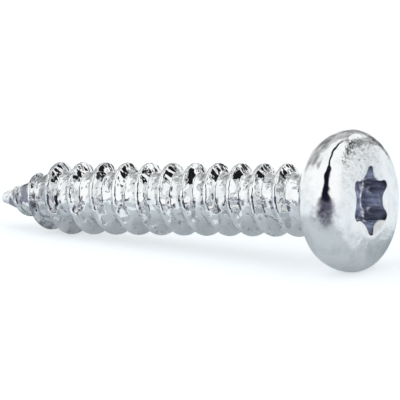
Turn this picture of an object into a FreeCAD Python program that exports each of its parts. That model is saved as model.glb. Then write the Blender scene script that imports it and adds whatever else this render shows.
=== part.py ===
import FreeCAD, Part
import math
import os

# Sheet metal screw in zinc-plated steel: pan head with a six-lobe recess, a coarse thread that
# runs from under the head to the end of the cone point, and a blunt tip.
# Millimetres. The screw is drawn upright, bearing face at z = 0 and head above it, and is then
# laid on its head rim and its last full turn of thread, head towards +X.

# Driving dimensions
LENGTH = 18.8             # bearing face to tip, of a nominal 19
THREAD_DIAMETER = 3.5     # over the crests
PITCH = 1.3
CORE_DIAMETER = 2.55      # at the root between the turns
HEAD_DIAMETER = 6.76
HEAD_HEIGHT = 2.37
RECESS_WIDTH = 3.25       # across the lobes
RECESS_DEPTH = 1.4        # from the crown to the end of the straight walls
POINT_LENGTH = 3.25       # tip to the first full turn

# Thread form
CREST_WIDTH = 0.13
FLANK_ANGLE = 60.0        # between the two flanks
THREAD_START = 0.5        # tip to the start of the thread
START_ANGLE = 75.0        # where the thread starts, counted from the side the screw lies on
RAMP_TURNS = 0.3          # the crest rises out of the core over this part of a turn
RUN_OUT_TURNS = 0.5       # and sinks back into it over this part of a turn under the head
END_GAP = 0.55            # bearing face to the end of the run-out
ROOT_OVERLAP = 0.12       # how far the ridge reaches into the core
BURIED = 0.04             # depth of the crest below the core at both ends
POINTS_PER_TURN = 12

# Point
TIP_RADIUS = 0.2
POINT_HALF_ANGLE = 20.0

# Head form, as shares of the head's own sizes
RIM_HEIGHT_SHARE = 0.52   # height of the widest place
SIDE_ROUND_SHARE = 0.52   # radius of the bulging side to head radius
EDGE_ROUND_SHARE = 0.145  # round between the bearing face and the side
CROWN_SHARE = 5.3         # crown radius to head radius
NECK_CLEARANCE = 0.03     # neck round ends this far outside the crest line

# Recess form, as shares of the width across the lobes
RECESS_INNER_SHARE = 0.716
LOBE_ROUND_SHARE = 0.08
RECESS_CHAMFER_SHARE = 1.035
CHAMFER_SLOPE = 10.0      # from the crown
FLOOR_SLOPE = 14.0        # cone at the bottom of the recess
LOBES = 6
LOBE_ANGLE = 51.5         # first lobe, counted like START_ANGLE

THREAD_RADIUS = THREAD_DIAMETER / 2
CORE_RADIUS = CORE_DIAMETER / 2
HEAD_RADIUS = HEAD_DIAMETER / 2
AXIS = FreeCAD.Vector(0, 0, 1)


def at(radius, height, angle=0.0):
    """Point at a radius and height, turned about the screw's axis."""
    turn = math.radians(angle)
    return FreeCAD.Vector(radius * math.cos(turn), radius * math.sin(turn), height)


def arc(centre, radius, first, last):
    """Circular arc in the profile plane between two angles in degrees."""
    middle = (first + last) / 2
    points = [FreeCAD.Vector(centre[0] + radius * math.cos(math.radians(a)), 0,
                             centre[1] + radius * math.sin(math.radians(a)))
              for a in (first, middle, last)]
    return Part.Arc(*points).toShape()


def line(start, end):
    return Part.makeLine(FreeCAD.Vector(start[0], 0, start[1]), FreeCAD.Vector(end[0], 0, end[1]))


# Crown and shoulder

RIM_HEIGHT = RIM_HEIGHT_SHARE * HEAD_HEIGHT
CROWN_RADIUS = CROWN_SHARE * HEAD_RADIUS
CROWN_RISE = HEAD_HEIGHT - RIM_HEIGHT
SHOULDER_RADIUS = ((2 * CROWN_RADIUS * CROWN_RISE - HEAD_RADIUS ** 2 - CROWN_RISE ** 2)
                   / (2 * (CROWN_RADIUS - HEAD_RADIUS)))
SHOULDER_RADIUS = max(SHOULDER_RADIUS, 0.15 * HEAD_RADIUS)


def crown_height(radius):
    """Height of the crown above the bearing face at a radius."""
    return HEAD_HEIGHT - CROWN_RADIUS + math.sqrt(CROWN_RADIUS ** 2 - radius ** 2)


def body_profile():
    """Half outline of head, neck, core and point, from the tip round to the crown."""
    edges = []
    half = math.radians(POINT_HALF_ANGLE)
    tip = -LENGTH
    edges.append(arc((0, tip + TIP_RADIUS), TIP_RADIUS, -90, -POINT_HALF_ANGLE))
    cone_start = (TIP_RADIUS * math.cos(half), tip + TIP_RADIUS * (1 - math.sin(half)))
    cone_end = (CORE_RADIUS, cone_start[1] + (CORE_RADIUS - cone_start[0]) / math.tan(half))
    edges.append(line(cone_start, cone_end))

    neck_round = THREAD_RADIUS + NECK_CLEARANCE - CORE_RADIUS
    edges.append(line(cone_end, (CORE_RADIUS, -neck_round)))
    edges.append(arc((CORE_RADIUS + neck_round, -neck_round), neck_round, 180, 90))

    # side of the head, bulging to its widest place and rounded at the bearing face
    side_radius = max(SIDE_ROUND_SHARE * HEAD_RADIUS, 1.1 * RIM_HEIGHT)
    edge_round = min(EDGE_ROUND_SHARE * HEAD_RADIUS, 0.5 * RIM_HEIGHT)
    side_centre = (HEAD_RADIUS - side_radius, RIM_HEIGHT)
    reach = side_radius - edge_round
    edge_centre = (side_centre[0] + math.sqrt(reach ** 2 - (RIM_HEIGHT - edge_round) ** 2),
                   edge_round)
    low = math.degrees(math.atan2(edge_centre[1] - side_centre[1],
                                  edge_centre[0] - side_centre[0]))
    edges.append(line((CORE_RADIUS + neck_round, 0), (edge_centre[0], 0)))
    edges.append(arc(edge_centre, edge_round, -90, low))
    edges.append(arc(side_centre, side_radius, low, 0))

    # shoulder, then the flat crown
    crown_centre = (0, HEAD_HEIGHT - CROWN_RADIUS)
    shoulder_centre = (HEAD_RADIUS - SHOULDER_RADIUS, RIM_HEIGHT)
    meet = math.degrees(math.atan2(shoulder_centre[1] - crown_centre[1], shoulder_centre[0]))
    edges.append(arc(shoulder_centre, SHOULDER_RADIUS, 0, meet))
    edges.append(arc(crown_centre, CROWN_RADIUS, meet, 90))
    edges.append(line((0, HEAD_HEIGHT), (0, tip)))
    return Part.Wire(Part.__sortEdges__(edges))


def body():
    """Head, neck, core and point turned from one profile."""
    profile = Part.Face(body_profile())
    return profile.revolve(FreeCAD.Vector(0, 0, 0), AXIS, 360)


# Thread

def core_radius(height):
    """Radius of the core or of the point's cone at a height."""
    half = math.radians(POINT_HALF_ANGLE)
    along = height + LENGTH - TIP_RADIUS * (1 - math.sin(half))
    return min(CORE_RADIUS, TIP_RADIUS * math.cos(half) + along * math.tan(half))


def full_crest(height):
    """Radius over the crests: a cone along the point, then the thread's full size."""
    share = (height + LENGTH) / POINT_LENGTH
    slope_start = TIP_RADIUS * 0.5
    return min(THREAD_RADIUS, slope_start + share * (THREAD_RADIUS - slope_start))


def ease(share):
    share = min(max(share, 0.0), 1.0)
    return share * share * (3 - 2 * share)


def thread_turns():
    return (LENGTH - THREAD_START - END_GAP) / PITCH


def thread_section(turn):
    """Crest radius, root radius, half width at the crest and half width at the root."""
    height = -LENGTH + THREAD_START + PITCH * turn
    core = core_radius(height)
    rise = ease(turn / RAMP_TURNS) * ease((thread_turns() - turn) / RUN_OUT_TURNS)
    crest = core - BURIED + rise * (full_crest(height) - core + BURIED)
    root = core - ROOT_OVERLAP
    half_crest = CREST_WIDTH / 2
    half_root = half_crest + (crest - root) * math.tan(math.radians(FLANK_ANGLE / 2))
    return height, crest, root, half_crest, half_root


def helical_curve(pick):
    """Smooth curve that follows one corner of the thread section up the screw."""
    count = int(math.ceil(thread_turns() * POINTS_PER_TURN))
    turns = [thread_turns() * i / count for i in range(count + 1)]
    points = []
    for turn in turns:
        radius, height = pick(*thread_section(turn))
        points.append(at(radius, height, START_ANGLE + 360 * turn))
    curve = Part.BSplineCurve()
    curve.interpolate(Points=points, Parameters=turns)
    return curve


def ridge_piece(curves, first, last):
    """Length of the ridge between two turns: four wound faces closed by a flat one at each end."""
    edges = [curve.toShape(first, last) for curve in curves]
    faces = [Part.makeRuledSurface(edge, following)
             for edge, following in zip(edges, edges[1:] + edges[:1])]
    for end in (first, last):
        corners = [curve.value(end) for curve in curves]
        faces.append(Part.Face(Part.makePolygon(corners + corners[:1])))
    shell = Part.makeShell(faces)
    shell.sewShape()
    piece = Part.Solid(shell)
    if piece.Volume < 0:
        piece.reverse()
    return piece


def thread():
    """Ridge with a flat crest and straight flanks, wound right-handed, one solid for each turn."""
    curves = [helical_curve(lambda z, crest, root, half_crest, half_root: (root, z - half_root)),
              helical_curve(lambda z, crest, root, half_crest, half_root: (crest, z - half_crest)),
              helical_curve(lambda z, crest, root, half_crest, half_root: (crest, z + half_crest)),
              helical_curve(lambda z, crest, root, half_crest, half_root: (root, z + half_root))]
    count = int(math.ceil(thread_turns()))
    cuts = [thread_turns() * i / count for i in range(count + 1)]
    return [ridge_piece(curves, first, last) for first, last in zip(cuts, cuts[1:])]


# Six-lobe recess

def recess_outline(height):
    """Lobes and the hollows between them as tangent arcs."""
    lobe_round = LOBE_ROUND_SHARE * RECESS_WIDTH
    inner = RECESS_INNER_SHARE * RECESS_WIDTH / 2
    lobe_centre = RECESS_WIDTH / 2 - lobe_round
    half = math.pi / LOBES
    # radius of the round between two lobes that is tangent to both of them
    cosine = math.cos(half)
    between = ((inner ** 2 + lobe_centre ** 2 - 2 * inner * lobe_centre * cosine
                - lobe_round ** 2)
               / (2 * (lobe_round - inner + lobe_centre * cosine)))
    flute_centre = inner + between
    edges = []
    for lobe in range(LOBES):
        angle = LOBE_ANGLE + lobe * 360 / LOBES
        here = at(lobe_centre, height, angle)
        before = at(flute_centre, height, angle - 180 / LOBES)
        after = at(flute_centre, height, angle + 180 / LOBES)
        start = here + (before - here).normalize() * lobe_round
        end = here + (after - here).normalize() * lobe_round
        edges.append(Part.Arc(start, at(RECESS_WIDTH / 2, height, angle), end).toShape())
        following = at(lobe_centre, height, angle + 360 / LOBES)
        far_end = following + (after - following).normalize() * lobe_round
        middle = at(inner, height, angle + 180 / LOBES)
        edges.append(Part.Arc(end, middle, far_end).toShape())
    return Part.Face(Part.Wire(edges))


def recess():
    """Straight six-lobe walls with a shallow cone below them and a chamfer at the mouth."""
    floor = HEAD_HEIGHT - RECESS_DEPTH
    walls = recess_outline(floor).extrude(AXIS * (RECESS_DEPTH * 2))
    inner = RECESS_INNER_SHARE * RECESS_WIDTH / 2
    cone_depth = inner * math.tan(math.radians(FLOOR_SLOPE))
    cone = Part.makeCone(0, inner, cone_depth, FreeCAD.Vector(0, 0, floor - cone_depth), AXIS)
    mouth = RECESS_CHAMFER_SHARE * RECESS_WIDTH / 2
    slope = math.tan(math.radians(CHAMFER_SLOPE))
    above = HEAD_HEIGHT - crown_height(mouth)
    chamfer = Part.makeCone(0, mouth + above / slope, mouth * slope + above,
                            FreeCAD.Vector(0, 0, crown_height(mouth) - mouth * slope), AXIS)
    return walls.fuse([cone, chamfer])


# Lying position

def rest_tilt():
    """Angle between the screw's axis and the floor, resting on head rim and thread."""
    height = THREAD_START + PITCH * (360 - START_ANGLE) / 360
    while height < POINT_LENGTH:
        height += PITCH
    span = LENGTH - height + RIM_HEIGHT
    return math.degrees(math.atan((HEAD_RADIUS - THREAD_RADIUS) / span))


def lay_down(shape):
    """Turn the upright screw onto its side and set the middle of its footprint at the origin."""
    laid = shape.copy()
    laid.rotate(FreeCAD.Vector(0, 0, 0), FreeCAD.Vector(0, 1, 0), 90 - rest_tilt())
    points = laid.tessellate(0.005)[0]
    low = [min(getattr(point, axis) for point in points) for axis in "xyz"]
    high = [max(getattr(point, axis) for point in points) for axis in "xyz"]
    laid.translate(FreeCAD.Vector(-(low[0] + high[0]) / 2, -(low[1] + high[1]) / 2, -low[2]))
    return laid


def screw():
    solid = body().fuse(thread()).cut(recess())
    return lay_down(solid)


os.makedirs("parts", exist_ok=True)
screw().exportStep("parts/screw.step")
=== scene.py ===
"""Zinc-plated pan head sheet metal screw, lying on a pale studio floor.

The screw's visible surface is one mesh built from its real sizes in millimetres: a head with a
six-lobe recess, a core with a blunt cone point, and a rolled ridge wound round it. The mesh
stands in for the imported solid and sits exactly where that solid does.
"""

import logging
import math
from dataclasses import dataclass, field
from enum import Enum
from typing import Sequence

import bmesh
import bpy
import numpy as np
from mathutils import Matrix, Vector


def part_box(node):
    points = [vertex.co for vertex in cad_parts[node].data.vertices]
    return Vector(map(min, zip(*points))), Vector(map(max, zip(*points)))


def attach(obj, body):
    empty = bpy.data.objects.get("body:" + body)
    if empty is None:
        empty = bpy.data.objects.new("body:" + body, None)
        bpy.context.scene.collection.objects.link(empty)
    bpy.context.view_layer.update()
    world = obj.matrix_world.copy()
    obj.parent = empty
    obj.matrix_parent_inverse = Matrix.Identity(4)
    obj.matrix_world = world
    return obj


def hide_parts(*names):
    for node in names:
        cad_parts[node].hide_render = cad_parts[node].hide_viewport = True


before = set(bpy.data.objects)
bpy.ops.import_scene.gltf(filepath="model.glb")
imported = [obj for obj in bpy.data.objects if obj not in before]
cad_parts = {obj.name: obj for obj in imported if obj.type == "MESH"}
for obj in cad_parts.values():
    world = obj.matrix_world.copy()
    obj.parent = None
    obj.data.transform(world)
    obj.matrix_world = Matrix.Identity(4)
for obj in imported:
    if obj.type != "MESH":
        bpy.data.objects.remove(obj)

LOG = logging.getLogger("sheet_metal_screw")
MM = 0.001
WHITE = "ffffff"
# a mix node's sockets for colours: the two that it mixes, and the result
MIX_A, MIX_B, MIXED = 6, 7, 2
# share of the recess that its wall has; the floor has 1
WALL = 0.5


# Colour and node helpers

def rgba(hex_colour: str) -> tuple[float, float, float, float]:
    """Turn an sRGB hex colour into the linear values that a shader takes.

    Args:
        hex_colour: Six hex digits, such as "dfe3e4".

    Returns:
        Red, green and blue, linear, from 0 to 1, and full alpha.
    """
    parts = [int(hex_colour[i:i + 2], 16) / 255 for i in (0, 2, 4)]
    linear = (p / 12.92 if p <= 0.04045 else ((p + 0.055) / 1.055) ** 2.4 for p in parts)
    return (*linear, 1.0)


def add_node(tree: bpy.types.NodeTree, kind: str, inputs: dict[str | int, object] | None = None,
             **settings: object) -> bpy.types.Node:
    """Add one node, set its properties and fill or link its inputs.

    Args:
        tree: The node tree that gets the node.
        kind: Blender's type name of the node.
        inputs: Input name or index to a value, to an output socket that is linked to it, or to a
            node whose first output is.
        **settings: Properties of the node itself.

    Returns:
        The new node.
    """
    node = tree.nodes.new(kind)
    for name, value in settings.items():
        setattr(node, name, value)
    for name, value in (inputs or {}).items():
        if isinstance(value, bpy.types.Node):
            value = value.outputs[0]
        if isinstance(value, bpy.types.NodeSocket):
            tree.links.new(value, node.inputs[name])
        else:
            node.inputs[name].default_value = value
    return node


# Sizes

@dataclass(frozen=True)
class ScrewSizes:
    """Sizes of an ST3.5 x 19 pan head sheet metal screw, in millimetres and degrees."""

    length: float = 18.8
    thread_diameter: float = 3.5
    pitch: float = 1.3
    core_diameter: float = 2.55
    head_diameter: float = 6.76
    head_height: float = 2.37
    rim_share: float = 0.52
    neck_clearance: float = 0.03
    recess_width: float = 3.25
    recess_depth: float = 1.4
    point_length: float = 3.25
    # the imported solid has 0.2 here; the photo's nose is blunter
    tip_radius: float = 0.27
    point_half_angle: float = 20.0
    thread_start: float = 0.5
    start_angle: float = 75.0
    end_gap: float = 0.55

    @property
    def thread_radius(self) -> float:
        """Radius over the crests."""
        return self.thread_diameter / 2

    @property
    def core_radius(self) -> float:
        """Radius at the root."""
        return self.core_diameter / 2

    @property
    def head_radius(self) -> float:
        """Largest radius of the head."""
        return self.head_diameter / 2

    @property
    def rim_height(self) -> float:
        """Height of the head's widest place above the bearing face."""
        return self.rim_share * self.head_height

    @property
    def neck_round(self) -> float:
        """Radius of the round between core and bearing face, a little past the thread."""
        return self.thread_radius + self.neck_clearance - self.core_radius

    @property
    def nose_length(self) -> float:
        """Length of the tip's round end, up to where the cone begins."""
        return self.tip_radius * (1 - math.sin(math.radians(self.point_half_angle)))

    @property
    def rest_tilt(self) -> float:
        """Angle between the axis and the floor, lying on head rim and thread.

        Returns:
            The angle in radians.
        """
        contact = self.thread_start + self.pitch * (360 - self.start_angle) / 360
        while contact < self.point_length:
            contact += self.pitch
        span = self.length - contact + self.rim_height
        return math.atan((self.head_radius - self.thread_radius) / span)


# Mesh building

class Zone(Enum):
    """Places with a finish of their own, as shares of crown, recess, thread and painted shade in the
    lobe tips.
    """

    THREAD = (0.0, 0.0, 1.0, 0.0)
    RECESS_FLOOR = (1.0, 1.0, 0.0, 0.0)


@dataclass
class MeshBuilder:
    """Collects points and faces of one surface, in the screw's own upright frame in mm."""

    weld_mm: float = 1e-5
    points: list[np.ndarray] = field(default_factory=list)
    zones: list[np.ndarray] = field(default_factory=list)
    faces: list[tuple[int, ...]] = field(default_factory=list)
    count: int = 0

    def add_grid(self, points: np.ndarray, wrap: bool, zones: np.ndarray) -> None:
        """Add a grid of points as quads.

        Args:
            points: Array of rows x columns x 3.
            wrap: Whether the last column joins the first.
            zones: For each point, or for all of them, how far it belongs to the crown, the
            recess, the thread and the painted shade in the tips of the lobes.
        """
        rows, columns = points.shape[:2]
        base = self.count
        self.points.append(points.reshape(-1, 3))
        self.zones.append(np.broadcast_to(zones, (rows, columns, 4)).reshape(-1, 4))
        self.count += rows * columns
        last = columns if wrap else columns - 1
        for row in range(rows - 1):
            for column in range(last):
                nxt = (column + 1) % columns
                self.faces.append((base + row * columns + column, base + row * columns + nxt,
                                   base + (row + 1) * columns + nxt,
                                   base + (row + 1) * columns + column))

    def close_row(self, row: np.ndarray, centre: Sequence[float], flip: bool,
                  zone: Zone) -> None:
        """Close a ring with a fan to one point.

        Args:
            row: The ring's points.
            centre: The middle point.
            flip: Whether the fan winds the other way.
            zone: The zone of the fan.
        """
        base = self.count
        self.points.append(np.vstack([row, np.array([centre])]))
        self.zones.append(np.repeat([zone.value], len(row) + 1, axis=0))
        self.count += len(row) + 1
        middle = base + len(row)
        for i in range(len(row)):
            j = (i + 1) % len(row)
            self.faces.append((base + j, base + i, middle) if flip else (base + i, base + j, middle))

    def to_object(self, name: str) -> bpy.types.Object:
        """Make the Blender object, welded and smooth shaded, still in the upright frame.

        Args:
            name: Name of the piece.

        Returns:
            The new object, linked to the scene.
        """
        mesh = bpy.data.meshes.new(name)
        mesh.from_pydata(np.vstack(self.points).tolist(), [], self.faces)
        zones = mesh.attributes.new("zone", "FLOAT_COLOR", "POINT")
        zones.data.foreach_set("color", np.vstack(self.zones).astype(np.float32).ravel())
        # points that meet become one, so that the surface is closed, and it faces outwards
        work = bmesh.new()
        work.from_mesh(mesh)
        bmesh.ops.remove_doubles(work, verts=work.verts, dist=self.weld_mm)
        bmesh.ops.recalc_face_normals(work, faces=work.faces)
        work.to_mesh(mesh)
        work.free()
        mesh.shade_smooth()
        piece = bpy.data.objects.new(name, mesh)
        bpy.context.scene.collection.objects.link(piece)
        return piece


def arc_points(centre: tuple[float, float], radius: float, first: float, last: float,
               count: int) -> list[tuple[float, float]]:
    """Trace an arc in the half plane of radius and height.

    Args:
        centre: Radius and height of the arc's centre.
        radius: Radius of the arc.
        first: Start angle in degrees.
        last: End angle in degrees.
        count: Number of points.

    Returns:
        The points from first to last.
    """
    angles = np.radians(np.linspace(first, last, count))
    return [(centre[0] + radius * math.cos(a), centre[1] + radius * math.sin(a)) for a in angles]


@dataclass
class HeadWithRecess:
    """Pan head: bearing face, bulging side, shoulder, shallow crown and six-lobe recess."""

    sizes: ScrewSizes
    columns: int = 288
    # radii of the outside, as shares of the head's radius
    side_share: float = 0.52
    edge_share: float = 0.145
    crown_share: float = 5.3
    # where the crown's finish starts and over what width, as shares of the shoulder's radius
    finish_start_share: float = 0.25
    finish_width_share: float = 0.35
    inner_share: float = 0.716
    lobe_round_share: float = 0.08
    chamfer_share: float = 1.035
    chamfer_slope: float = 10.0
    floor_slope: float = 14.0
    mouth_round: float = 0.03
    # the chamfer's rolled outer edge, as shares of the mouth's round
    lip_drop_share: float = 0.25
    lip_inset_share: float = 0.4
    lobe_angle: float = 51.5
    # painted shade in the tips of the lobes: half width in degrees, and how it fades sideways and
    # downwards
    tip_angle: float = 10.0
    tip_side_fade: float = 1.3
    tip_wall_fade: float = 1.5
    tip_floor_share: float = 0.4
    lobes: int = 6

    def crown_radius(self) -> float:
        """Radius of the shallow dome on top."""
        return self.crown_share * self.sizes.head_radius

    def shoulder_radius(self) -> float:
        """Radius that joins the side to the crown without a corner.

        Returns:
            The radius in millimetres.
        """
        rise = self.sizes.head_height - self.sizes.rim_height
        crown = self.crown_radius()
        edge = self.sizes.head_radius
        return (2 * crown * rise - edge ** 2 - rise ** 2) / (2 * (crown - edge))

    def mouth_radius(self) -> float:
        """Radius of the chamfer's outer edge."""
        return self.chamfer_share * self.sizes.recess_width / 2

    def crown_height(self, radius: float) -> float:
        """Height of the crown at a radius."""
        crown = self.crown_radius()
        return self.sizes.head_height - crown + math.sqrt(crown ** 2 - radius ** 2)

    def outside_profile(self) -> list[tuple[float, float]]:
        """Trace the outside, from the neck, under the head and over it to the recess's mouth.

        Returns:
            Radius and height of each point.
        """
        s = self.sizes
        neck = s.neck_round
        points = arc_points((s.core_radius + neck, -neck), neck, 180, 90, 10)
        side = self.side_share * s.head_radius
        edge_round = self.edge_share * s.head_radius
        side_centre = (s.head_radius - side, s.rim_height)
        reach = side - edge_round
        edge_centre = (side_centre[0] + math.sqrt(reach ** 2 - (s.rim_height - edge_round) ** 2),
                       edge_round)
        low = math.degrees(math.atan2(edge_centre[1] - side_centre[1],
                                      edge_centre[0] - side_centre[0]))
        for share in (0.02, 0.25, 0.5, 0.75, 0.98):
            radius = s.core_radius + neck
            points.append((radius + share * (edge_centre[0] - radius), 0.0))
        points += arc_points(edge_centre, edge_round, -90, low, 12)
        points += arc_points(side_centre, side, low, 0, 14)[1:]
        shoulder = self.shoulder_radius()
        crown_centre = (0.0, s.head_height - self.crown_radius())
        shoulder_centre = (s.head_radius - shoulder, s.rim_height)
        meet = math.degrees(math.atan2(shoulder_centre[1] - crown_centre[1], shoulder_centre[0]))
        points += arc_points(shoulder_centre, shoulder, 0, meet, 22)[1:]
        mouth = self.mouth_radius() + self.mouth_round
        end = math.degrees(math.acos(mouth / self.crown_radius()))
        points += arc_points(crown_centre, self.crown_radius(), meet, end, 16)[1:]
        return points

    def lobe_outline(self, angles: np.ndarray) -> np.ndarray:
        """Trace the six-lobe outline: round lobes with round hollows between them.

        Args:
            angles: Angles round the axis in degrees.

        Returns:
            The radius at each angle.
        """
        width = self.sizes.recess_width
        lobe = self.lobe_round_share * width
        inner = self.inner_share * width / 2
        centre = width / 2 - lobe
        half = math.pi / self.lobes
        hollow = ((inner ** 2 + centre ** 2 - 2 * inner * centre * math.cos(half) - lobe ** 2)
                  / (2 * (lobe - inner + centre * math.cos(half))))
        hollow_centre = inner + hollow
        # angle at which the lobe's arc meets the hollow's arc
        join_x = centre + (hollow_centre * math.cos(half) - centre) * lobe / (lobe + hollow)
        join_y = hollow_centre * math.sin(half) * lobe / (lobe + hollow)
        join = math.atan2(join_y, join_x)
        turn = np.radians((angles - self.lobe_angle) % (360 / self.lobes))
        turn = np.where(turn > half, 2 * half - turn, turn)
        on_lobe = (centre * np.cos(turn)
                   + np.sqrt(np.maximum(lobe ** 2 - (centre * np.sin(turn)) ** 2, 0)))
        away = half - turn
        in_hollow = (hollow_centre * np.cos(away)
                     - np.sqrt(np.maximum(hollow ** 2 - (hollow_centre * np.sin(away)) ** 2, 0)))
        return np.where(turn < join, on_lobe, in_hollow)

    def build(self, mesh: MeshBuilder) -> None:
        """Add the head's surface, from the neck to the bottom of the recess.

        Args:
            mesh: Collects the surface.
        """
        s = self.sizes
        angles = np.arange(self.columns) * 360 / self.columns
        cos, sin = np.cos(np.radians(angles)), np.sin(np.radians(angles))
        rows: list[np.ndarray] = []
        zones: list[np.ndarray] = []
        # painted shade in the lobe tips, fading with the angle from each tip
        turn = np.abs((angles - self.lobe_angle + 180 / self.lobes) % (360 / self.lobes)
                      - 180 / self.lobes)
        tips = np.clip(self.tip_side_fade - turn / self.tip_angle, 0, 1)

        def ring(radius: np.ndarray | float, height: np.ndarray | float, crown: float = 1.0,
                 inside: float = 0.0, dark: float = 0.0) -> None:
            """Add one row of points round the axis.

            Args:
                radius: Radius of all the points or of each.
                height: Height of all the points or of each.
                crown: Share of the crown.
                inside: Share of the recess.
                dark: Share of the painted shade in the tips of the lobes.
            """
            shares = (crown, inside, 0.0, tips * dark)
            zones.append(np.stack([np.broadcast_to(share, cos.shape) for share in shares], -1))
            height = np.broadcast_to(height, cos.shape)
            rows.append(np.stack([radius * cos, radius * sin, height], -1))

        finish_start = s.head_radius - self.finish_start_share * self.shoulder_radius()
        finish_width = self.finish_width_share * self.shoulder_radius()
        for radius, height in self.outside_profile():
            share = (finish_start - radius) / finish_width
            on_top = height > s.rim_height
            ring(radius, height, min(max(share, 0.0), 1.0) if on_top else 0.0)

        # chamfer at the mouth, rolled over at its outer edge
        mouth = self.mouth_radius()
        slope = math.tan(math.radians(self.chamfer_slope))
        top = self.crown_height(mouth)

        def chamfer_height(radius: np.ndarray | float) -> np.ndarray | float:
            """Height of the chamfer at a radius."""
            return top - (mouth - radius) * slope

        for share in (0.6, 0.2):
            radius = mouth + self.mouth_round * share
            drop = self.lip_drop_share * self.mouth_round * (1 - share) ** 2
            ring(radius, self.crown_height(radius) - drop)
        outline = self.lobe_outline(angles)
        inner = mouth - self.mouth_round * self.lip_inset_share
        for share in (0.0, 0.3, 0.6, 0.85):
            radius = inner + (outline + self.mouth_round - inner) * share
            radius = np.minimum(radius, inner)
            ring(radius, chamfer_height(radius))
        # rounded edge between chamfer and wall, then the straight wall
        for step in (0, 30, 60, 90):
            a = math.radians(step)
            radius = np.minimum(outline + self.mouth_round * (1 - math.sin(a)), inner)
            ring(radius, chamfer_height(radius) - self.mouth_round * (1 - math.cos(a)),
                 inside=WALL * step / 90, dark=step / 90)
        floor = s.head_height - s.recess_depth
        start = chamfer_height(outline) - self.mouth_round
        # down the wall the painted shade in the lobe tips fades to the share it keeps on the floor
        for share in (0.15, 0.35, 0.55, 0.75, 0.93, 1.0):
            ring(outline, start + (floor - start) * share, inside=WALL,
                 dark=max(1 - self.tip_wall_fade * share, self.tip_floor_share))
        # coned floor
        flat = self.inner_share * s.recess_width / 2
        fall = math.tan(math.radians(self.floor_slope))
        for share in (0.97, 0.85, 0.6, 0.3, 0.05):
            radius = np.minimum(outline, flat * share)
            ring(radius, floor - (flat - radius) * fall, inside=1.0, dark=self.tip_floor_share)
        mesh.add_grid(np.array(rows), True, np.array(zones))
        mesh.close_row(rows[-1], (0, 0, floor - flat * fall), False, Zone.RECESS_FLOOR)


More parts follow.
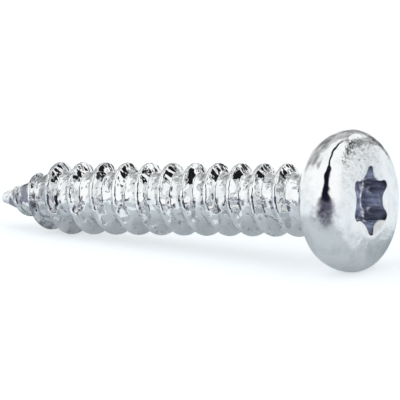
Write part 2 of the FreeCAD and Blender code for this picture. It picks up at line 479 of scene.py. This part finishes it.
@dataclass
class ThreadedShank:
    """Core with its blunt cone point, and the rolled ridge wound round it."""

    sizes: ScrewSizes
    columns: int = 288
    cone_rows: int = 36
    core_rows: int = 12
    steps_per_turn: int = 108
    # angles on the nose's round that get a row of points
    nose_angles: tuple[float, ...] = (8, 16, 26, 38, 52, 70, 90)
    crest_width: float = 0.17
    flank_angle: float = 60.0
    ramp_turns: float = 0.3
    run_out_turns: float = 0.5
    root_round: float = 0.14
    crest_round: float = 0.145
    # where the ridge is low, its rounds are shares of its height
    crest_round_share: float = 0.4
    root_round_share: float = 0.6
    least_height: float = 0.001
    # the ridge's two ends lie this deep in the core
    sunk: float = 0.04
    # its root line stands this far out of the core, and its foot runs on into the core
    lift: float = 0.002
    foot_reach: float = 0.03
    foot_depth: float = 0.02

    def core_radius(self, height: float) -> float:
        """Give the radius of the core or of the cone point.

        Args:
            height: Height above the bearing face.

        Returns:
            The radius there.
        """
        s = self.sizes
        half = math.radians(s.point_half_angle)
        from_tip = height + s.length
        if from_tip < s.nose_length:
            return math.sqrt(max(s.tip_radius ** 2 - (s.tip_radius - from_tip) ** 2, 0))
        along = from_tip - s.nose_length
        return min(s.core_radius, s.tip_radius * math.cos(half) + along * math.tan(half))

    def crest_radius(self, height: float) -> float:
        """Give the radius over the crests, which grows along the point.

        Args:
            height: Height above the bearing face.

        Returns:
            The radius there.
        """
        s = self.sizes
        share = (height + s.length) / s.point_length
        first = s.tip_radius / 2
        return min(s.thread_radius, first + share * (s.thread_radius - first))

    def turns(self) -> float:
        """Number of turns of the ridge."""
        s = self.sizes
        return (s.length - s.thread_start - s.end_gap) / s.pitch

    def ridge_place(self, turn: float) -> float:
        """Height of the ridge's middle after a number of turns."""
        return -self.sizes.length + self.sizes.thread_start + self.sizes.pitch * turn

    def ridge_height(self, turn: float) -> float:
        """Give the ridge's height, which eases in and out at the two ends.

        Args:
            turn: Number of turns from the start.

        Returns:
            Height of the crest above the core.
        """
        def ease(share: float) -> float:
            """Smooth step from 0 to 1."""
            share = min(max(share, 0.0), 1.0)
            return share * share * (3 - 2 * share)

        height = self.ridge_place(turn)
        rise = ease(turn / self.ramp_turns) * ease((self.turns() - turn) / self.run_out_turns)
        full = self.crest_radius(height) - self.core_radius(height) + self.sunk
        return -self.sunk + rise * full

    def ridge_section(self, tall: float) -> list[tuple[float, float]]:
        """Trace the ridge's section: offset along the axis and height above the core.

        Args:
            tall: Height of the crest above the core.

        Returns:
            Points from the tip side to the head side, the same number for any height.
        """
        lean = math.radians(self.flank_angle / 2)
        bend = math.pi / 2 - lean
        crest = self.crest_width / 2
        soft = min(self.crest_round, self.crest_round_share * max(tall, self.least_height))
        # crest: rounded corners on a narrow flat
        half: list[tuple[float, float]] = [(0.0, tall)]
        for share in (0.0, 0.33, 0.66, 1.0):
            angle = share * bend
            half.append((crest - soft * math.tan(bend / 2) + soft * math.sin(angle),
                         tall - soft * (1 - math.cos(angle))))
        # flank down to the root round, then the foot inside the core
        base = crest + tall * math.tan(lean)
        root = min(self.root_round, self.root_round_share * max(tall, self.least_height))
        reach = root * math.tan(bend / 2)
        low = min(tall, 0.0)
        for share in (0.0, 0.25, 0.5, 0.75, 1.0):
            angle = (1 - share) * bend
            half.append((base + reach - root * math.sin(angle),
                         low + self.lift + root * (1 - math.cos(angle))))
        half.append((base + reach + self.foot_reach, low - self.foot_depth))
        return [(-x, y) for x, y in reversed(half[1:])] + half

    def build_core(self, mesh: MeshBuilder) -> None:
        """Add the core, from the tip to the neck.

        Args:
            mesh: Collects the surface.
        """
        s = self.sizes
        angles = np.radians(np.arange(self.columns) * 360 / self.columns)
        nose = [s.nose_length * math.sin(math.radians(a)) ** 2 for a in self.nose_angles]
        cone_end = s.nose_length + ((s.core_radius - self.core_radius(s.nose_length - s.length))
                                    / math.tan(math.radians(s.point_half_angle)))
        rows = []
        for distance in (*nose, *np.linspace(s.nose_length, cone_end, self.cone_rows)[1:],
                         *np.linspace(cone_end, s.length - s.neck_round, self.core_rows)[1:]):
            height = -s.length + distance
            radius = self.core_radius(height)
            rows.append(np.stack([radius * np.cos(angles), radius * np.sin(angles),
                                  np.full(self.columns, height)], -1))
        mesh.add_grid(np.array(rows), True, np.array(Zone.THREAD.value))
        mesh.close_row(rows[0], (0, 0, -s.length), True, Zone.THREAD)

    def build_ridge(self, mesh: MeshBuilder) -> None:
        """Add the ridge, closed along its root and at both ends.

        Args:
            mesh: Collects the surface.
        """
        count = int(self.turns() * self.steps_per_turn)
        ridge = []
        for i in range(count + 1):
            turn = self.turns() * i / count
            angle = math.radians(self.sizes.start_angle + 360 * turn)
            column = []
            for offset, above in self.ridge_section(self.ridge_height(turn)):
                height = self.ridge_place(turn) + offset
                radius = self.core_radius(height) + above
                column.append((radius * math.cos(angle), radius * math.sin(angle), height))
            ridge.append(column + column[:1])
        grid = np.array(ridge).transpose(1, 0, 2)
        mesh.add_grid(grid, False, np.array(Zone.THREAD.value))
        for end in (0, -1):
            loop = grid[:-1, end]
            mesh.close_row(loop, loop.mean(axis=0), end == 0, Zone.THREAD)


# Finish

@dataclass(frozen=True)
class Pattern:
    """Irregular pattern with features of a real size, and the values a mask runs between."""

    size_mm: float
    detail: float
    roughness: float
    low: float = 0.0
    high: float = 1.0


@dataclass(frozen=True)
class Fading:
    """How a mark fades with the distance from its middle, and what is left of it elsewhere."""

    full_share: float
    reach_mm: float
    rest: float = 0.0


@dataclass(frozen=True)
class BrightZincPlating:
    """Bright zinc electroplating with clear passivation on cold-formed steel.

    It mirrors a white studio, neutral to slightly cool. The side of the head has shallow dents.
    The crown keeps the grain of the heading punch and the thread the dents of rolling and of
    the plating barrel. Inside the recess it is duller and bluish violet, with painted shade on its
    floor and in the tips of the lobes. A painted dark reflection lies on the head's side towards
    the camera.
    """

    colour: str = "e6e8e9"
    dull_colour: str = "d3d7d9"
    scuffed_colour: str = "7c808c"
    pit_colour: str = "c2c5ca"
    # painted dark reflection on the head's side, towards the camera
    painted_reflection_colour: str = "6d697c"
    recess_colour: str = "f0f2fb"
    # painted shade on the recess's floor and, darker, in the tips of the lobes
    painted_recess_floor_shade_colour: str = "a0a7bb"
    painted_lobe_shade_colour: str = "2a2b38"
    smooth: float = 0.06
    dull: float = 0.17
    crown_roughness: float = 0.21
    worn_roughness: float = 0.3
    painted_reflection_roughness: float = 0.28
    recess_roughness: float = 0.22
    clouds: Pattern = Pattern(0.9, 5.0, 0.65, 0.45, 0.7)
    mottle: Pattern = Pattern(0.3, 5.0, 0.65, 0.4, 0.62)
    marks: Pattern = Pattern(0.6, 2.0, 0.5, 0.44, 0.56)
    pits: Pattern = Pattern(0.42, 2.0, 0.5, 0.3, 0.4)
    dents: Pattern = Pattern(0.52, 1.0, 0.4)
    grain: Pattern = Pattern(0.2, 2.0, 0.5)
    painted_reflection: Fading = Fading(0.1, 1.0)
    worn: Fading = Fading(0.3, 2.1, 0.2)
    scuffed: Fading = Fading(0.4, 5.5)
    pit_depth_mm: float = 0.05
    dent_depth_mm: float = 0.12
    grain_depth_mm: float = 0.075
    # dents on the head, and grain on the thread, as shares of the full ones
    side_share: float = 0.22
    thread_grain_share: float = 0.04

    def material(self, painted_reflection_at: Vector, worn_at: Vector,
                 tip_at: Vector) -> bpy.types.Material:
        """Build the node material.

        Args:
            painted_reflection_at: Middle of the painted dark reflection on the head's side, in
                metres.
            worn_at: Where on the crown the heading punch was worn roughest, in metres.
            tip_at: The screw's tip, in metres.

        Returns:
            The material.
        """
        material = bpy.data.materials.new("bright_zinc_plating")
        material.use_nodes = True
        tree = material.node_tree
        tree.nodes.clear()
        place = add_node(tree, "ShaderNodeTexCoord").outputs["Object"]
        zone = add_node(tree, "ShaderNodeAttribute", attribute_name="zone").outputs
        zones = add_node(tree, "ShaderNodeSeparateColor", {"Color": zone["Color"]}).outputs
        crown, recess, thread, tips = zones["Red"], zones["Green"], zones["Blue"], zone["Alpha"]
        clouds, mottle, marks, pits, dents, grain = (
            add_node(tree, "ShaderNodeTexNoise", {
                "Vector": place, "Scale": 1 / (pattern.size_mm * MM), "Detail": pattern.detail,
                "Roughness": pattern.roughness})
            for pattern in (self.clouds, self.mottle, self.marks, self.pits, self.dents,
                            self.grain))

        # masks: painted dark reflection's fade; the point is scuffed by other screws in the plating
        # barrel
        near, worn, scuffed = (
            add_node(tree, "ShaderNodeMapRange", {
                "Value": add_node(tree, "ShaderNodeVectorMath", {0: place, 1: tuple(middle)},
                                  operation="DISTANCE").outputs["Value"],
                "From Min": fading.full_share * fading.reach_mm * MM,
                "From Max": fading.reach_mm * MM, "To Min": 1.0, "To Max": fading.rest},
                interpolation_type="SMOOTHSTEP")
            for middle, fading in ((painted_reflection_at, self.painted_reflection), (worn_at, self.worn),
                                   (tip_at, self.scuffed)))
        clouds, mottle, marks = (
            add_node(tree, "ShaderNodeMapRange", {
                "Value": noise, "From Min": pattern.low, "From Max": pattern.high,
                "To Max": most})
            for noise, pattern, most in ((clouds, self.clouds, 1.0), (mottle, self.mottle, 1.0),
                                         (marks, self.marks, scuffed)))
        # pits left by the rolling dies in the thread, with dull zinc at the bottom
        pits = add_node(tree, "ShaderNodeMapRange", {
            "Value": pits, "From Min": self.pits.low, "From Max": self.pits.high,
            "To Min": 1.0, "To Max": 0.0}, interpolation_type="SMOOTHSTEP")
        # the painted dark reflection is mottled and fades from its middle
        painted_reflection, pits, worn = (
            add_node(tree, "ShaderNodeMath", {0: share, 1: mask}, operation="MULTIPLY")
            for share, mask in ((near, mottle), (pits, thread), (crown, worn)))
        # the recess's walls, and its floor, which gets painted shade
        walls, floor = (
            add_node(tree, "ShaderNodeMapRange", {
                "Value": recess, "From Min": low, "From Max": low + WALL})
            for low in (0.0, WALL))

        # colour; painted shade darkens the recess's floor and, darkest, the narrow tips of the lobes
        outside: object = rgba(self.colour)
        for share, colour in ((clouds, self.dull_colour), (marks, self.scuffed_colour),
                              (pits, self.pit_colour), (painted_reflection, self.painted_reflection_colour)):
            outside = add_node(tree, "ShaderNodeMix", {
                0: share, MIX_A: outside, MIX_B: rgba(colour)}, data_type="RGBA").outputs[MIXED]
        inside: object = rgba(self.recess_colour)
        for share, colour in ((floor, self.painted_recess_floor_shade_colour), (tips, self.painted_lobe_shade_colour)):
            inside = add_node(tree, "ShaderNodeMix", {
                0: share, MIX_A: inside, MIX_B: rgba(colour)}, data_type="RGBA").outputs[MIXED]
        tint = add_node(tree, "ShaderNodeMix", {
            0: walls, MIX_A: outside, MIX_B: inside}, data_type="RGBA")

        # gloss: smoothest where nothing has touched the bath's bright zinc
        rough: object = self.smooth
        for share, roughness in ((clouds, self.dull), (crown, self.crown_roughness),
                                 (worn, self.worn_roughness), (near, self.painted_reflection_roughness),
                                 (walls, self.recess_roughness)):
            rough = add_node(tree, "ShaderNodeMapRange", {
                "Value": share, "To Min": rough, "To Max": roughness})

        # relief: dents on the thread, grain on the crown, shallow dents on the head
        dented = add_node(tree, "ShaderNodeMath", {0: thread, 1: scuffed, 2: thread},
                          operation="MULTIPLY_ADD")
        dented = add_node(tree, "ShaderNodeMath", {0: dented, 1: self.side_share},
                          operation="ADD")
        dents = add_node(tree, "ShaderNodeMath", {0: dents, 1: dented}, operation="MULTIPLY")
        dents = add_node(tree, "ShaderNodeMath", {
            0: pits, 1: -self.pit_depth_mm / self.dent_depth_mm, 2: dents},
            operation="MULTIPLY_ADD")
        grained = add_node(tree, "ShaderNodeMath", {
            0: thread, 1: self.thread_grain_share, 2: worn}, operation="MULTIPLY_ADD")
        grain = add_node(tree, "ShaderNodeMath", {0: grain, 1: grained}, operation="MULTIPLY")
        large = add_node(tree, "ShaderNodeBump", {
            "Strength": 1.0, "Distance": self.dent_depth_mm * MM, "Height": dents})
        fine = add_node(tree, "ShaderNodeBump", {
            "Strength": 1.0, "Distance": self.grain_depth_mm * MM, "Height": grain,
            "Normal": large})
        shader = add_node(tree, "ShaderNodeBsdfPrincipled", {
            "Base Color": tint.outputs[MIXED], "Metallic": 1.0, "Roughness": rough,
            "Normal": fine})
        add_node(tree, "ShaderNodeOutputMaterial", {"Surface": shader})
        return material


@dataclass
class SheetMetalScrew:
    """The whole screw as one piece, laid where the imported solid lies."""

    sizes: ScrewSizes = field(default_factory=ScrewSizes)
    plating: BrightZincPlating = field(default_factory=BrightZincPlating)
    # angles round the axis, and places as shares of the head's radius and height: first the painted
    # dark reflection, then the crown's worn place
    painted_reflection_angle: float = -88.0
    painted_reflection_height_share: float = 0.2
    worn_angle: float = -172.0
    worn_radius_share: float = 0.72
    worn_height_share: float = 0.92
    # middle of the bearing face in metres, known once the screw lies
    origin: Vector = field(default_factory=Vector, init=False)

    def build(self) -> bpy.types.Object:
        """Build the screw's mesh, put it in place and plate it.

        Returns:
            The piece.
        """
        blank, ridge = MeshBuilder(), MeshBuilder()
        HeadWithRecess(self.sizes).build(blank)
        shank = ThreadedShank(self.sizes)
        shank.build_core(blank)
        shank.build_ridge(ridge)
        piece = blank.to_object("plated_screw")
        self.join_ridge(piece, ridge.to_object("rolled_ridge"))
        self.lay_down(piece)
        s = self.sizes
        piece.data.materials.append(self.plating.material(
            self.place(self.painted_reflection_angle, s.head_radius,
                       s.rim_height + self.painted_reflection_height_share * s.head_height),
            self.place(self.worn_angle, self.worn_radius_share * s.head_radius,
                       self.worn_height_share * s.head_height),
            self.place(0.0, 0.0, -s.length)))
        return piece

    def join_ridge(self, piece: bpy.types.Object, ridge: bpy.types.Object) -> None:
        """Make head, core and ridge one closed surface.

        Args:
            piece: Head and core.
            ridge: The thread's ridge, whose foot lies under the core's surface.
        """
        join = piece.modifiers.new("join", "BOOLEAN")
        join.operation, join.solver, join.object = "UNION", "MANIFOLD", ridge
        bpy.context.view_layer.update()
        graph = bpy.context.evaluated_depsgraph_get()
        whole = bpy.data.meshes.new_from_object(piece.evaluated_get(graph))
        piece.modifiers.clear()
        whole.materials.clear()
        # the join doesn't carry the shares over the core, and all below the head is thread
        heights = np.array([vertex.co.z for vertex in whole.vertices])
        zones = np.empty(4 * len(heights), np.float32)
        shares = whole.attributes["zone"].data
        shares.foreach_get("color", zones)
        zones.reshape(-1, 4)[heights < 0] = Zone.THREAD.value
        shares.foreach_set("color", zones)
        whole.shade_smooth()
        piece.data = whole
        whole.name = piece.name
        bpy.data.objects.remove(ridge)

    def place(self, angle: float, radius: float, height: float) -> Vector:
        """Give the place, in metres, of a point of the upright screw.

        Args:
            angle: Angle round the axis in degrees, 0 down and -90 towards the camera.
            radius: Distance from the axis in millimetres.
            height: Height above the bearing face in millimetres.

        Returns:
            The place in the laid screw.
        """
        turn = math.radians(angle)
        place = Vector((radius * math.cos(turn), radius * math.sin(turn), height)) * MM
        place.rotate(Matrix.Rotation(math.pi / 2 - self.sizes.rest_tilt, 3, "Y"))
        return self.origin + place

    def lay_down(self, piece: bpy.types.Object) -> None:
        """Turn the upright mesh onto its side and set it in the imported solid's box.

        Args:
            piece: The piece, upright and in millimetres.
        """
        turn = Matrix.Rotation(math.pi / 2 - self.sizes.rest_tilt, 4, "Y")
        piece.data.transform(Matrix.Scale(MM, 4) @ turn)
        low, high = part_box("screw")
        points = np.array([v.co for v in piece.data.vertices])
        own_low, own_high = points.min(0), points.max(0)
        self.origin = Vector(((low.x + high.x - own_low[0] - own_high[0]) / 2,
                              (low.y + high.y - own_low[1] - own_high[1]) / 2,
                              low.z - own_low[2]))
        piece.data.transform(Matrix.Translation(self.origin))


# Studio

@dataclass(frozen=True)
class SatinWhiteBoard:
    """Satin white coated board.

    A glow lifts it: seen at a low angle a painted sheen makes it pure white; from above it is a
    pale cool grey. Mirrored in the metal its front is painted dark and it has painted shade close
    to the head.
    """

    colour: str = "c6d0d6"
    # glow that lifts the board when seen directly or mirrored; at low angles it grows to the lift, a
    # painted sheen
    glow: float = 0.2
    lift: float = 0.56
    painted_sheen_limits: tuple[float, float] = (0.62, 0.765)
    # the part in front of the screw, as a wedge towards the tent's opening, painted dark where the
    # metal mirrors it
    painted_front_reflection_colour: str = "7c798c"
    front_azimuth: float = -57.0
    front_start_mm: float = 10.0
    front_full_share: float = 2.4
    wedge_limits: tuple[float, float] = (0.35, 1.0)
    # painted shade close to the head, seen only in the metal
    shade_mm: tuple[float, float, float] = (12.3, 5.5, 0.0)
    shade: Fading = Fading(0.3, 6.0)

    def material(self) -> bpy.types.Material:
        """Build the node material.

        Returns:
            The material.
        """
        material = bpy.data.materials.new("satin_white_board")
        material.use_nodes = True
        tree = material.node_tree
        tree.nodes.clear()
        path = add_node(tree, "ShaderNodeLightPath").outputs
        # painted reflection: only as the metal mirrors it, the board's front is painted dark like
        # the tent's opening
        spot = add_node(tree, "ShaderNodeTexCoord").outputs["Object"]
        ahead, aside = (add_node(tree, "ShaderNodeVectorMath", {
            0: spot, 1: direction(self.front_azimuth + turn)},
            operation="DOT_PRODUCT").outputs["Value"] for turn in (0.0, 90.0))
        reach = add_node(tree, "ShaderNodeMapRange", {
            "Value": ahead, "From Min": self.front_start_mm * MM,
            "From Max": self.front_full_share * self.front_start_mm * MM},
            interpolation_type="SMOOTHSTEP")
        slant = add_node(tree, "ShaderNodeMath", {0: aside, 1: ahead}, operation="DIVIDE")
        slant = add_node(tree, "ShaderNodeMath", {0: slant}, operation="ABSOLUTE")
        low, high = self.wedge_limits
        inside = add_node(tree, "ShaderNodeMapRange", {
            "Value": slant, "From Min": low, "From Max": high, "To Min": 1.0, "To Max": 0.0},
            interpolation_type="SMOOTHSTEP")
        front = add_node(tree, "ShaderNodeMath", {0: reach, 1: inside}, operation="MULTIPLY")
        front = add_node(tree, "ShaderNodeMath", {0: front, 1: path["Is Glossy Ray"]},
                         operation="MULTIPLY")
        paint = add_node(tree, "ShaderNodeMix", {
            0: front, MIX_A: rgba(self.colour), MIX_B: rgba(self.painted_front_reflection_colour)},
            data_type="RGBA")
        matt = add_node(tree, "ShaderNodeBsdfDiffuse", {"Color": paint.outputs[MIXED]})
        # seen directly or mirrored, the board is lifted to white and keeps the screw's shadow
        seen = add_node(tree, "ShaderNodeMath", {
            0: path["Is Camera Ray"], 1: path["Is Glossy Ray"]}, operation="MAXIMUM")
        seen = add_node(tree, "ShaderNodeMath", {0: seen, 1: path["Is Transmission Ray"]},
                        operation="MAXIMUM")
        # painted sheen: the glow grows to the full lift at low angles
        facing = add_node(tree, "ShaderNodeLayerWeight", {"Blend": 0.5}).outputs["Facing"]
        low, high = self.painted_sheen_limits
        painted_sheen = add_node(tree, "ShaderNodeMapRange", {
            "Value": facing, "From Min": low, "From Max": high, "To Min": self.glow,
            "To Max": self.lift}, interpolation_type="SMOOTHSTEP")
        lift = add_node(tree, "ShaderNodeMath", {0: seen, 1: painted_sheen}, operation="MULTIPLY")
        # painted shade: mirrored in the lower edge of the crown, the board close to the head loses
        # its lift
        away = add_node(tree, "ShaderNodeVectorMath", {
            0: spot, 1: tuple(value * MM for value in self.shade_mm)},
            operation="DISTANCE").outputs["Value"]
        shade = add_node(tree, "ShaderNodeMapRange", {
            "Value": away, "From Min": self.shade.full_share * self.shade.reach_mm * MM,
            "From Max": self.shade.reach_mm * MM, "To Min": path["Is Glossy Ray"],
            "To Max": self.shade.rest}, interpolation_type="SMOOTHSTEP")
        # the painted dark front and the painted shade take the lift away
        painted_dark_share = add_node(tree, "ShaderNodeMath", {0: front, 1: shade}, operation="MAXIMUM")
        lift = add_node(tree, "ShaderNodeMapRange", {
            "Value": painted_dark_share, "To Min": lift, "To Max": 0.0})
        glow = add_node(tree, "ShaderNodeEmission", {"Color": rgba(WHITE), "Strength": lift})
        both = add_node(tree, "ShaderNodeAddShader", {0: matt, 1: glow})
        add_node(tree, "ShaderNodeOutputMaterial", {"Surface": both})
        return material


@dataclass(frozen=True)
class PaleFloor:
    """Board that the screw lies on, large enough to run out of every view."""

    finish: SatinWhiteBoard = SatinWhiteBoard()
    half_size: float = 1.5

    def build(self) -> bpy.types.Object:
        """Make the floor.

        Returns:
            The floor object.
        """
        half = self.half_size
        mesh = bpy.data.meshes.new("studio_floor")
        mesh.from_pydata([(-half, -half, 0), (half, -half, 0), (half, half, 0), (-half, half, 0)],
                         [], [(0, 1, 2, 3)])
        floor = bpy.data.objects.new("studio_floor", mesh)
        bpy.context.scene.collection.objects.link(floor)
        mesh.materials.append(self.finish.material())
        return floor


def direction(azimuth: float, elevation: float = 0.0) -> tuple[float, float, float]:
    """Unit vector at an azimuth and elevation in degrees."""
    a, e = math.radians(azimuth), math.radians(elevation)
    return (math.cos(e) * math.cos(a), math.cos(e) * math.sin(a), math.sin(e))


@dataclass(frozen=True)
class TentPatch:
    """Round place in the tent's cloth that is brighter or darker than the cloth."""

    azimuth: float
    elevation: float
    radius: float
    strength: float
    edge: float = 2.0


@dataclass(frozen=True)
class LightTent:
    """White light tent: bright cloth left and right and an open front.

    The opening for the camera is a dark slit that widens towards the table, and the metal
    mirrors it as a black streak. Behind the object the cloth is less bright, with one lit panel
    and the dark heads of two lamp stands. Heights are sines of the elevation.
    """

    camera_azimuth: float = -57.0
    bright_azimuth: float = -75.0
    side_strength: float = 1.2
    back_strength: float = 0.47
    horizon_strength: float = 1.2
    # folds of the cloth behind: the noise's scale and limits, and the dark and bright folds
    fold_scale: float = 3.6
    fold_limits: tuple[float, float] = (0.36, 0.62)
    fold_shares: tuple[float, float] = (0.55, 1.6)
    slit_colour: str = "17162a"
    opening_colour: str = "7a788c"
    # past the top the slit bends to the side, and its edge is soft between two shares of width
    slit_bend: float = 0.67
    slit_edge: tuple[float, float] = (0.7, 1.3)
    patches: tuple[TentPatch, ...] = (
        TentPatch(74.0, 34.0, 19.0, 1.25),
        TentPatch(50.0, 9.0, 9.0, 0.8, 5.0),
        TentPatch(50.0, 35.0, 20.0, 0.015),
        TentPatch(87.0, 9.0, 12.0, 0.05, 4.0),
        TentPatch(-179.0, 36.0, 7.0, 0.4, 5.0),
        TentPatch(-156.0, 47.0, 5.0, 0.5, 4.0),
    )

    def build(self) -> None:
        """Set up the world."""
        world = bpy.data.worlds.new("light_tent")
        bpy.context.scene.world = world
        world.use_nodes = True
        tree = world.node_tree
        tree.nodes.clear()
        way = add_node(tree, "ShaderNodeTexCoord").outputs["Generated"]
        height = add_node(tree, "ShaderNodeSeparateXYZ", {"Vector": way}).outputs["Z"]
        # cosines between the looking direction and the directions that matter
        bright, ahead, aside, *near = (
            add_node(tree, "ShaderNodeVectorMath", {0: way, 1: target},
                     operation="DOT_PRODUCT").outputs["Value"]
            for target in (direction(self.bright_azimuth), direction(self.camera_azimuth),
                           direction(self.camera_azimuth + 90),
                           *(direction(patch.azimuth, patch.elevation)
                             for patch in self.patches)))

        # cloth: bright at the sides, in front and on top, dimmer behind, with its patches
        folds = add_node(tree, "ShaderNodeTexNoise", {
            "Vector": way, "Scale": self.fold_scale, "Detail": 3.0, "Roughness": 0.6})
        dim, lit = (share * self.back_strength for share in self.fold_shares)
        low, high = self.fold_limits
        folds = add_node(tree, "ShaderNodeMapRange", {
            "Value": folds, "From Min": low, "From Max": high, "To Min": dim, "To Max": lit},
            interpolation_type="SMOOTHSTEP")
        cloth: object = self.horizon_strength
        for value, low, high, strength in (
                (height, 0.08, 0.32, folds), (bright, -0.5, -0.15, self.side_strength),
                (height, 0.78, 0.93, self.side_strength),
                *((cosine, math.cos(math.radians(patch.radius + patch.edge)),
                   math.cos(math.radians(patch.radius - patch.edge)), patch.strength)
                  for cosine, patch in zip(near, self.patches))):
            cloth = add_node(tree, "ShaderNodeMapRange", {
                "Value": value, "From Min": low, "From Max": high, "To Min": cloth,
                "To Max": strength}, interpolation_type="SMOOTHSTEP")

        # slit: how far off the camera's plane, against its half width at this height
        bend = add_node(tree, "ShaderNodeMath", {0: ahead, 1: 0.0}, operation="MINIMUM")
        off = add_node(tree, "ShaderNodeMath", {0: bend, 1: self.slit_bend, 2: aside},
                       operation="MULTIPLY_ADD")
        off = add_node(tree, "ShaderNodeMath", {0: off}, operation="ABSOLUTE")
        low_width, top_share, behind, foot = (
            add_node(tree, "ShaderNodeMapRange", {
                "Value": value, "From Min": low, "From Max": high, "To Min": first,
                "To Max": last}, interpolation_type="SMOOTHSTEP")
            for value, low, high, first, last in (
                (height, 0.0, 0.5, 0.7, 0.24), (height, 0.75, 0.95, 1.0, 0.35),
                (ahead, -0.45, -0.25, 1.0, 0.0), (height, 0.0, 0.26, 1.0, 0.0)))
        width = add_node(tree, "ShaderNodeMath", {0: low_width, 1: top_share},
                         operation="MULTIPLY")
        share = add_node(tree, "ShaderNodeMath", {0: off, 1: width}, operation="DIVIDE")
        low, high = self.slit_edge
        closed = add_node(tree, "ShaderNodeMapRange", {
            "Value": share, "From Min": low, "From Max": high},
            interpolation_type="SMOOTHSTEP")
        closed = add_node(tree, "ShaderNodeMath", {0: closed, 1: behind}, operation="MAXIMUM")
        dark = add_node(tree, "ShaderNodeMix", {
            0: foot, MIX_A: rgba(self.slit_colour), MIX_B: rgba(self.opening_colour)},
            data_type="RGBA").outputs[MIXED]
        slit = add_node(tree, "ShaderNodeBackground", {"Color": dark, "Strength": 1.0})
        light = add_node(tree, "ShaderNodeBackground", {"Color": rgba(WHITE), "Strength": cloth})
        both = add_node(tree, "ShaderNodeMixShader", {0: closed, 1: slit, 2: light})
        add_node(tree, "ShaderNodeOutputWorld", {"Surface": both})


@dataclass(frozen=True)
class PhotoCamera:
    """Long lens at the photograph's viewing angle."""

    azimuth: float = -57.42
    elevation: float = 11.57
    distance_mm: float = 300.0
    lens_mm: float = 564.9
    sensor_mm: float = 36.0
    aim_below_head_mm: float = 7.31
    aim_drop_mm: float = 0.038
    clip: tuple[float, float] = (0.01, 20.0)

    def build(self, sizes: ScrewSizes, bearing_centre: Vector) -> bpy.types.Object:
        """Place the camera.

        Args:
            sizes: The screw's sizes.
            bearing_centre: Middle of the bearing face in metres.

        Returns:
            The camera object.
        """
        tilt = sizes.rest_tilt
        axis = Vector((math.cos(tilt), 0, math.sin(tilt)))
        towards = Vector(direction(self.azimuth, self.elevation))
        up = (Vector((0, 0, 1)) - towards * towards.z).normalized()
        aim = bearing_centre - axis * self.aim_below_head_mm * MM - up * self.aim_drop_mm * MM
        data = bpy.data.cameras.new("photo_camera")
        data.lens = self.lens_mm
        data.sensor_width = self.sensor_mm
        data.clip_start, data.clip_end = self.clip
        camera = bpy.data.objects.new("photo_camera", data)
        camera.location = aim + towards * self.distance_mm * MM
        camera.rotation_mode = "QUATERNION"
        camera.rotation_quaternion = (-towards).to_track_quat("-Z", "Y")
        bpy.context.scene.collection.objects.link(camera)
        bpy.context.scene.camera = camera
        return camera


def main() -> None:
    """Build the screw and its studio."""
    logging.basicConfig(level=logging.INFO)
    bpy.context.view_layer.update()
    bpy.context.scene.view_settings.view_transform = "Standard"
    screw = SheetMetalScrew()
    piece = screw.build()
    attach(piece, "root")
    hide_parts("screw")
    LOG.info("%s: %d faces", piece.name, len(piece.data.polygons))
    floor = PaleFloor().build()
    LOG.info("%s: %d face", floor.name, len(floor.data.polygons))
    LightTent().build()
    PhotoCamera().build(screw.sizes, screw.origin)


if __name__ == "__main__":
    main()
